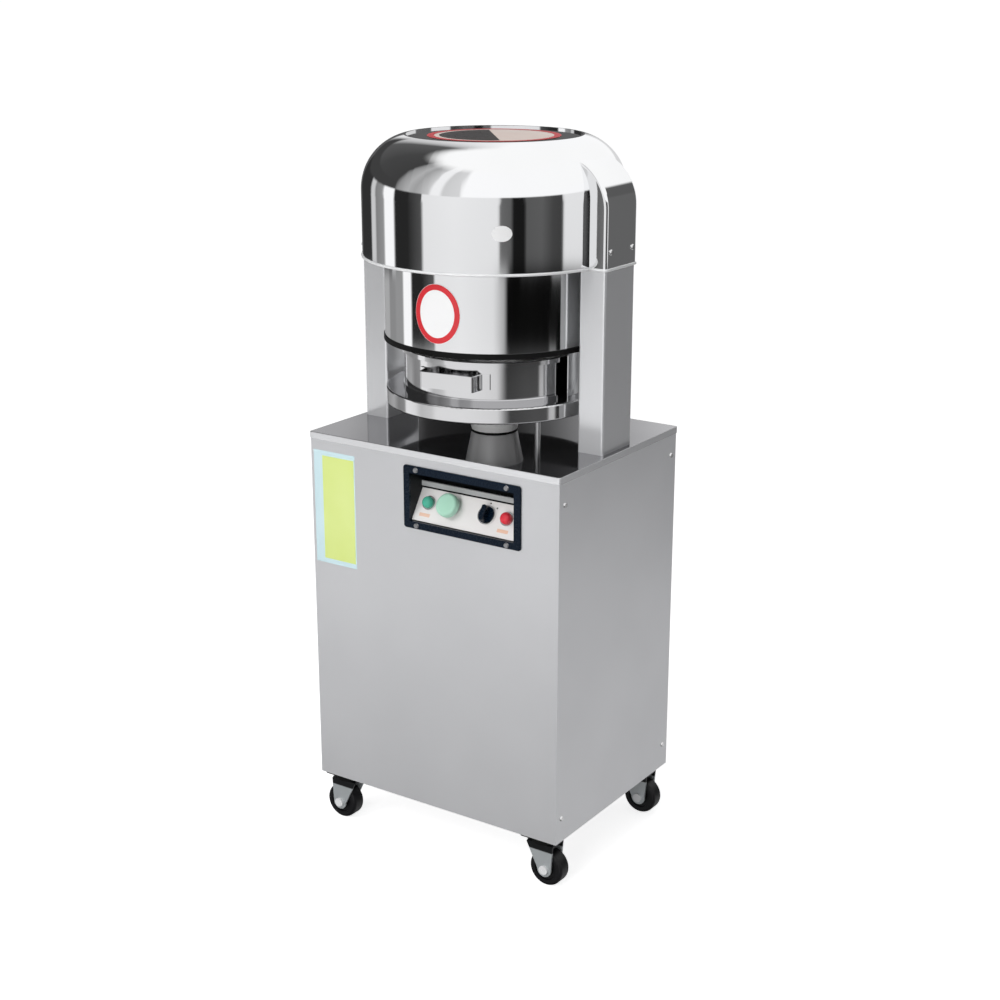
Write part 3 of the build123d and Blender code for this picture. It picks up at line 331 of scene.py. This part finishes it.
# A thin plate between two corners
def plate(name, low, high, material):
    vertices = [(x, y, z) for x in (low[0], high[0]) for y in (low[1], high[1])
                for z in (low[2], high[2])]
    return piece(name, vertices, BOX_FACES, material)


# Points of an ellipse; a surface function puts its flat points on the machine
def ellipse(radii, surface):
    points = []
    for step in range(ROUND_STEPS):
        angle = 2 * math.pi * step / ROUND_STEPS
        points.append(surface(radii[0] * math.cos(angle), radii[1] * math.sin(angle)))
    return points


# Faces between two ellipses that start at the given points
def ellipse_faces(inner, outer):
    faces = []
    for step in range(ROUND_STEPS):
        ahead = (step + 1) % ROUND_STEPS
        faces.append((inner + step, outer + step, outer + ahead, inner + ahead))
    return faces


# A ring between two ellipses
def ring(name, inner, outer, surface, material):
    vertices = ellipse(inner, surface) + ellipse(outer, surface)
    return piece(name, vertices, ellipse_faces(0, ROUND_STEPS), material)


# A disc made of rings, so that it bends with the surface under it
def disc(name, radii, surface, material):
    vertices = [surface(0, 0)]
    for band in range(1, DISC_BANDS + 1):
        share = band / DISC_BANDS
        vertices += ellipse((share * radii[0], share * radii[1]), surface)
    faces = [(0, 1 + i, 1 + (i + 1) % ROUND_STEPS) for i in range(ROUND_STEPS)]
    for band in range(1, DISC_BANDS):
        outer = 1 + band * ROUND_STEPS
        faces += ellipse_faces(outer - ROUND_STEPS, outer)
    return piece(name, vertices, faces, material)


# A flat field between an arc and its chord, from one angle to another in degrees
def field(name, radius, start, end, surface, material):
    vertices = []
    for step in range(FIELD_STEPS + 1):
        angle = math.radians(start + (end - start) * step / FIELD_STEPS)
        vertices.append(surface(radius * math.cos(angle), radius * math.sin(angle)))
    return piece(name, vertices, [tuple(range(FIELD_STEPS + 1))], material)


# Points wrapped on an upright drum round the machine's axis
def on_drum(radius, azimuth, height):
    def surface(across, up):
        angle = math.radians(azimuth) + across / radius
        return (radius * math.sin(angle), -radius * math.cos(angle), height + up)
    return surface


# Points on a level plane
def on_level(height):
    def surface(across, up):
        return (across, up, height)
    return surface


# Plain label on the front panel: a pale border and a yellow-green field
LABEL_LEFT, LABEL_RIGHT, LABEL_LOW, LABEL_HIGH = -0.257, -0.1645, 0.520, 0.731
MARGIN_LEFT, MARGIN_RIGHT, MARGIN_ENDS = 0.0195, 0.002, 0.009
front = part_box("front_panel")[0][1]
plate("label_border", (LABEL_LEFT, front - STICKER_LIFT, LABEL_LOW),
      (LABEL_RIGHT, front, LABEL_HIGH), LABEL_CYAN)
plate("label_field",
      (LABEL_LEFT + MARGIN_LEFT, front - 2 * STICKER_LIFT, LABEL_LOW + MARGIN_ENDS),
      (LABEL_RIGHT - MARGIN_RIGHT, front - STICKER_LIFT, LABEL_HIGH - MARGIN_ENDS), LABEL_YELLOW)

# Round sticker on the skirt with a red border
STICKER_TURN, STICKER_HEIGHT = 4.3, 1.0045
STICKER_RADII = (0.0435, 0.0505)
BORDER_INNER, BORDER_OUTER = (0.0335, 0.0405), (0.0430, 0.0500)
disc("skirt_sticker", STICKER_RADII,
     on_drum(SKIRT_RADIUS + STICKER_LIFT, STICKER_TURN, STICKER_HEIGHT), STICKER_WHITE)
ring("skirt_sticker_border", BORDER_INNER, BORDER_OUTER,
     on_drum(SKIRT_RADIUS + 2 * STICKER_LIFT, STICKER_TURN, STICKER_HEIGHT), STICKER_RED)

# Rolled hem round the head cover's lower edge, along the drum and round both ears
HEM_RADIUS, HEM_SIDES = 0.0024, 10
EAR_OUT, EAR_HALF, EAR_CORNER = 0.256, 0.050, 0.006
DRUM_STEPS, CORNER_STEPS = 60, 8


def hem_outline():
    meet = math.acos(EAR_HALF / COVER_RADIUS)
    quarter = []
    for step in range(DRUM_STEPS + 1):
        angle = meet * step / DRUM_STEPS
        quarter.append((COVER_RADIUS * math.sin(angle), COVER_RADIUS * math.cos(angle)))
    for step in range(CORNER_STEPS + 1):
        angle = math.pi / 2 * step / CORNER_STEPS
        quarter.append((EAR_OUT - EAR_CORNER + EAR_CORNER * math.sin(angle),
                        EAR_HALF - EAR_CORNER + EAR_CORNER * math.cos(angle)))
    half = quarter + [(x, -y) for x, y in reversed(quarter)]
    return half + [(-x, y) for x, y in reversed(half)][1:-1]


# A round tube along a closed level outline
def tube(name, outline, height, radius, sides, material):
    count = len(outline)
    vertices, faces = [], []
    for index, (x, y) in enumerate(outline):
        before, after = outline[index - 1], outline[(index + 1) % count]
        along = Vector((after[0] - before[0], after[1] - before[1])).normalized()
        for side in range(sides):
            angle = 2 * math.pi * side / sides
            out = radius * math.cos(angle)
            rise = radius * math.sin(angle)
            vertices.append((x - along.y * out, y + along.x * out, height + rise))
    for index in range(count):
        here, ahead = index * sides, (index + 1) % count * sides
        for side in range(sides):
            near = (side + 1) % sides
            faces.append((here + side, here + near, ahead + near, ahead + side))
    item = piece(name, vertices, faces, material)
    for polygon in item.data.polygons:
        polygon.use_smooth = True
    return item


cover_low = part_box("head_cover")[0][2]
tube("cover_hem", hem_outline(), cover_low + HEM_RADIUS, HEM_RADIUS, HEM_SIDES, HEM_STEEL)

# Small oval badge on the head cover, left bare
BADGE_RADII = (0.0168, 0.0129)
BADGE_TURN, BADGE_HEIGHT = 37.3, 1.147
disc("cover_badge", BADGE_RADII,
     on_drum(COVER_RADIUS + STICKER_LIFT, BADGE_TURN, BADGE_HEIGHT), STICKER_WHITE)

# Sticker in the recess on the head's top: a red border round plain dark and pale fields
TOP_RECESS = 0.003
TOP_OUTER, TOP_BORDER, TOP_DARK = 0.115, 0.103, 0.094
DARK_START, DARK_END = 130, 310
top_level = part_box("head_cover")[1][2] - TOP_RECESS
disc("top_sticker", (TOP_OUTER, TOP_OUTER), on_level(top_level + STICKER_LIFT), STICKER_PEACH)
ring("top_sticker_border", (TOP_BORDER, TOP_BORDER), (TOP_OUTER, TOP_OUTER),
     on_level(top_level + 2 * STICKER_LIFT), STICKER_RED)
field("top_sticker_dark", TOP_DARK, DARK_START, DARK_END,
      on_level(top_level + 2 * STICKER_LIFT), STICKER_BLACK)

# The sloping control plate: a point across it, up its slope and out from its face
PLATE_TILT = math.radians(33)
PLATE_SHEET = 0.002
plate_low, plate_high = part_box("control_plate")
plate_foot = plate_low[2] + PLATE_SHEET * math.sin(PLATE_TILT)


def on_plate(across, up, out):
    depth = plate_low[1] + up * math.sin(PLATE_TILT) - out * math.cos(PLATE_TILT)
    return (across, depth, plate_foot + up * math.cos(PLATE_TILT) + out * math.sin(PLATE_TILT))


# A thin mark on the control plate
def plate_mark(name, middle, size, material):
    vertices = [on_plate(middle[0] + across * size[0] / 2, middle[1] + up * size[1] / 2, out)
                for across in (-1, 1) for up in (-1, 1) for out in (0, STICKER_LIFT)]
    return piece(name, vertices, BOX_FACES, material)


# Grey rail over the plate's top edge
RAIL_GAP, RAIL_DEPTH, RAIL_HEIGHT = 0.004, 0.004, 0.009
rail_low = plate_high[2] + RAIL_GAP
plate("control_rail", (plate_low[0], plate_high[1] - RAIL_DEPTH, rail_low),
      (plate_high[0], plate_high[1], rail_low + RAIL_HEIGHT), BOX_GREY)

# Plain bars under the small buttons
BAR_SHIFT, BAR_RISE = 0.003, 0.012
BAR_SIZE = (0.022, 0.006)
for button in ("green_button", "red_button"):
    low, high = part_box(button)
    middle = ((low[0] + high[0]) / 2 - BAR_SHIFT, BAR_RISE)
    plate_mark(button + "_mark", middle, BAR_SIZE, MARK_SALMON)

# Dots at the selector's three positions
CONTROL_RISE = 0.034
DOT_REACH, DOT_SIZE = 0.0215, (0.0024, 0.0024)
SELECTOR_TURN = 45
selector_low, selector_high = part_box("selector_knob")
selector_x = (selector_low[0] + selector_high[0]) / 2
for turn in (-SELECTOR_TURN, 0, SELECTOR_TURN):
    angle = math.radians(turn)
    middle = (selector_x + DOT_REACH * math.sin(angle), CONTROL_RISE + DOT_REACH * math.cos(angle))
    plate_mark("selector_mark_%d" % (turn + SELECTOR_TURN), middle, DOT_SIZE, STICKER_BLACK)

# Return spring in the head: a round wire coil in place of the plain spring part
SPRING_TURNS, SPRING_STEPS, SPRING_SIDES = 5, 48, 12
SPRING_WIRE = 0.0026


def coil(name, radius, low, high, material):
    vertices, faces = [], []
    count = SPRING_TURNS * SPRING_STEPS
    climb = math.atan2(high - low, SPRING_TURNS * 2 * math.pi * radius)
    for step in range(count + 1):
        angle = 2 * math.pi * step / SPRING_STEPS
        outward = Vector((math.cos(angle), math.sin(angle), 0))
        upward = Vector((math.sin(angle) * math.sin(climb), -math.cos(angle) * math.sin(climb),
                         math.cos(climb)))
        middle = outward * radius + Vector((0, 0, low + (high - low) * step / count))
        for side in range(SPRING_SIDES):
            turn = 2 * math.pi * side / SPRING_SIDES
            offset = math.cos(turn) * outward + math.sin(turn) * upward
            vertices.append(middle + SPRING_WIRE * offset)
    for step in range(count):
        here, ahead = step * SPRING_SIDES, (step + 1) * SPRING_SIDES
        for side in range(SPRING_SIDES):
            near = (side + 1) % SPRING_SIDES
            faces.append((here + side, ahead + side, ahead + near, here + near))
    last = count * SPRING_SIDES
    faces += [tuple(range(SPRING_SIDES)), tuple(reversed(range(last, last + SPRING_SIDES)))]
    item = piece(name, vertices, faces, material)
    for polygon in item.data.polygons:
        polygon.use_smooth = len(polygon.vertices) == 4
    return item


spring_low, spring_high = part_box("press_spring")
spring_radius = (spring_high[0] - spring_low[0]) / 2 - SPRING_WIRE
return_spring = coil("return_spring", spring_radius, spring_low[2] + SPRING_WIRE,
                     spring_high[2] - SPRING_WIRE, MACHINED)
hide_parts("press_spring")
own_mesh(return_spring)

# Floor, white to the eye and still taking the shadow
FLOOR_SIZE, FLOOR_DROP = 400, 0.0005
FLOOR_GREY, FLOOR_ROUGH, FLOOR_GLOW = 0.9, 0.9, 0.76


def stage_floor():
    bpy.ops.mesh.primitive_plane_add(size=FLOOR_SIZE, location=(0, 0, -FLOOR_DROP))
    floor = bpy.context.object
    floor.name = "floor"
    material, tree, shader = new_material("floor_white")
    shader.inputs["Base Color"].default_value = (FLOOR_GREY, FLOOR_GREY, FLOOR_GREY, 1)
    shader.inputs["Roughness"].default_value = FLOOR_ROUGH
    glow = tree.nodes.new("ShaderNodeEmission")
    glow.inputs["Strength"].default_value = FLOOR_GLOW
    lit = tree.nodes.new("ShaderNodeAddShader")
    mix = tree.nodes.new("ShaderNodeMixShader")
    path = tree.nodes.new("ShaderNodeLightPath")
    tree.links.new(shader.outputs[0], lit.inputs[0])
    tree.links.new(glow.outputs[0], lit.inputs[1])
    tree.links.new(path.outputs["Is Camera Ray"], mix.inputs[0])
    tree.links.new(shader.outputs[0], mix.inputs[1])
    tree.links.new(lit.outputs[0], mix.inputs[2])
    tree.links.new(mix.outputs[0], tree.nodes["Material Output"].inputs["Surface"])
    floor.data.materials.append(material)
    floor.visible_glossy = False
    floor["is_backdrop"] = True


stage_floor()

# Studio surroundings: bright and dark screens round the machine that the steel mirrors.
# Each row is a list of azimuth in degrees, 0 in front and 90 to the right, and brightness.
LEFT_BANDS = [(-75, 0.30), (-73.5, 1.0), (-61.5, 1.0), (-60, 0.02), (-45, 0.02), (-30.5, 0.08)]
DRUM_BANDS = [
    (-180, 0.70), (-152, 0.70), (-150, 0.12), (-127, 0.10), (-125, 0.03), (-98, 0.03),
    (-96, 0.60), (-89, 0.60), (-88, 0.22), *LEFT_BANDS, (-28.5, 0.80), (0, 0.84), (37.5, 0.80),
    (39.5, 0.14), (48.5, 0.11), (50, 0.01), (60, 0.01), (61.5, 0.10), (75, 0.11), (85, 0.06),
    (94, 0.05), (96, 0.80), (126, 0.80), (128, 0.11), (160, 0.13), (163, 0.70), (180, 0.70),
]
SKIRT_BANDS = [
    (-180, 0.70), (-152, 0.70), (-150, 0.30), (-118, 0.40), (-108, 0.40), (-104, 0.26),
    (-92, 0.26), (-88, 0.30), *LEFT_BANDS, (-31, 0.10), (-29, 0.80), (0, 0.84), (33, 0.76),
    (44, 0.40), (47.5, 0.003), (120, 0.003), (128, 0.11), (160, 0.13), (163, 0.70), (180, 0.70),
]
PAN_BANDS = [
    (-180, 0.60), (-168, 0.50), (-164, 0.02), (-128, 0.02), (-122, 0.30), (-100, 0.45),
    (-88, 0.25), (-75, 0.30), (-73.5, 0.95), (-58, 0.90), (-50, 0.62), (-36, 0.70), (-30, 0.88),
    (0, 0.88), (37.5, 0.78), (45, 0.30), (50, 0.06), (75, 0.09), (92, 0.09), (94, 0.60),
    (100, 0.60), (102, 0.02), (116, 0.02), (122, 0.10), (160, 0.14), (163, 0.60), (180, 0.60),
]
MID_BANDS = [
    (-180, 0.55), (-168, 0.50), (-162, 0.02), (-130, 0.02), (-120, 0.30), (-75, 0.60),
    (-40, 0.84), (0, 0.88), (40, 0.60), (70, 0.30), (110, 0.50), (146, 0.85), (165, 0.70),
    (180, 0.55),
]
FLOOR_BANDS = [
    (-180, 0.40), (-168, 0.30), (-160, 0.03), (-130, 0.03), (-110, 0.20), (-60, 0.04),
    (-34, 0.03), (0, 0.12), (60, 0.25), (110, 0.50), (146, 0.60), (170, 0.50), (180, 0.40),
]
DOME_BANDS = [
    (-62, 0.05), (-57, 0.28), (-45, 0.45), (-38, 0.36), (-30, 0.48), (-24, 0.60), (-21, 0.90),
    (-13, 0.90), (-10, 0.62), (3, 0.68), (8, 1.0),
]
UPPER_BANDS = [
    (-180, 1.0), (-151.5, 1.0), (-148.5, 0.35), (-147, 0.02), (-143.5, 0.02), (-141.5, 0.70),
    (-138, 0.84), (-134.5, 0.05), *DOME_BANDS, (122, 1.0), (126, 0.10), (158, 0.10), (162, 1.0),
    (180, 1.0),
]
TOP_BANDS = [
    (-180, 1.0), (-150, 1.0), (-140, 0.75), (-133, 0.50), (-127, 0.10), (-98, 0.06),
    *DOME_BANDS, (180, 1.0),
]

# Rows below and above the drum's, each with the elevations between which it takes over
ROWS = [
    (-9.3, -10.2, SKIRT_BANDS), (-12.0, -13.2, PAN_BANDS), (-17, -20, MID_BANDS),
    (-20, -28, FLOOR_BANDS), (6, 9, UPPER_BANDS), (17.5, 20.5, TOP_BANDS),
]
CEILING_START, CEILING_END = 52, 66
BLUE_SHARE = 1.01
WHITE_LIGHT = (1, 1, 1, 1)
SOFT_LIGHT = (0.28, 0.28, 0.285, 1)


def stage_world():
    world = bpy.data.worlds.new("studio")
    scene.world = world
    world.use_nodes = True
    tree = world.node_tree
    tree.nodes.clear()

    def math_node(operation, first, second):
        node = tree.nodes.new("ShaderNodeMath")
        node.operation = operation
        for socket, value in zip(node.inputs, (first, second)):
            if isinstance(value, (int, float)):
                socket.default_value = value
            else:
                tree.links.new(value, socket)
        return node.outputs[0]

    place = tree.nodes.new("ShaderNodeTexCoord")
    parts = tree.nodes.new("ShaderNodeSeparateXYZ")
    tree.links.new(place.outputs["Generated"], parts.inputs[0])
    back = math_node("MULTIPLY", parts.outputs["Y"], -1.0)
    turn = math_node("ARCTAN2", parts.outputs["X"], back)
    azimuth = math_node("ADD", math_node("DIVIDE", turn, 2 * math.pi), 0.5)

    def band_ramp(bands):
        ramp = tree.nodes.new("ShaderNodeValToRGB")
        line = ramp.color_ramp
        for place, level in bands[1:-1]:
            stop = line.elements.new((place + 180) / 360)
            stop.color = (level, level, level * BLUE_SHARE, 1)
        line.elements[0].color = (bands[0][1],) * 3 + (1,)
        line.elements[-1].color = (bands[-1][1],) * 3 + (1,)
        tree.links.new(azimuth, ramp.inputs["Fac"])
        return ramp.outputs["Color"]

    def between(start, end):
        span = tree.nodes.new("ShaderNodeMapRange")
        span.interpolation_type = "SMOOTHSTEP"
        span.inputs["From Min"].default_value = math.sin(math.radians(start))
        span.inputs["From Max"].default_value = math.sin(math.radians(end))
        tree.links.new(parts.outputs["Z"], span.inputs["Value"])
        return span.outputs["Result"]

    seen = band_ramp(DRUM_BANDS)
    for start, end, bands in ROWS:
        seen = blend(tree, between(start, end), seen, band_ramp(bands))
    seen = blend(tree, between(CEILING_START, CEILING_END), seen, WHITE_LIGHT)
    path = tree.nodes.new("ShaderNodeLightPath")
    soft = blend(tree, path.outputs["Is Glossy Ray"], SOFT_LIGHT, seen)
    final = blend(tree, path.outputs["Is Camera Ray"], soft, WHITE_LIGHT)
    background = tree.nodes.new("ShaderNodeBackground")
    output = tree.nodes.new("ShaderNodeOutputWorld")
    tree.links.new(final, background.inputs["Color"])
    tree.links.new(background.outputs[0], output.inputs["Surface"])


stage_world()


# Soft lamps for the plastics, the labels and the satin sheet; the polished steel doesn't show them
def soft_lamp(name, place, target, size, power):
    lamp = bpy.data.lights.new(name, "AREA")
    lamp.shape = "DISK"
    lamp.size = size
    lamp.energy = power
    item = bpy.data.objects.new(name, lamp)
    item.location = place
    item.rotation_euler = (Vector(target) - Vector(place)).to_track_quat("-Z", "Y").to_euler()
    item.visible_glossy = False
    scene.collection.objects.link(item)
    item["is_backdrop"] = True


soft_lamp("key", place=(-0.9, -2.3, 2.3), target=(0, 0, 0.75), size=1.4, power=27)
soft_lamp("front", place=(0.5, -2.4, 0.95), target=(0, 0, 0.80), size=1.2, power=20)
soft_lamp("top", place=(0, -0.3, 3.0), target=(0, 0, 1.28), size=1.2, power=14)
soft_lamp("fill", place=(2.6, -1.6, 1.6), target=(0, 0, 0.6), size=2.0, power=1.5)

# Camera at the photograph's angle, fitted to its edges: turned and tipped down, in degrees
SENSOR_WIDTH, LENS, CLIP_END = 36, 62.41, 100
CAMERA_PLACE = (1.6938, -2.4896, 1.5685)
CAMERA_TURN, CAMERA_DOWN = 34.04, 17.339
camera_data = bpy.data.cameras.new("camera")
camera_data.sensor_width = SENSOR_WIDTH
camera_data.lens = LENS
camera_data.clip_end = CLIP_END
camera = bpy.data.objects.new("camera", camera_data)
camera.location = CAMERA_PLACE
camera.rotation_euler = Euler((math.radians(90 - CAMERA_DOWN), 0, math.radians(CAMERA_TURN)), "XYZ")
scene.collection.objects.link(camera)
scene.camera = camera
scene.view_settings.view_transform = "Standard"

low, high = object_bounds()
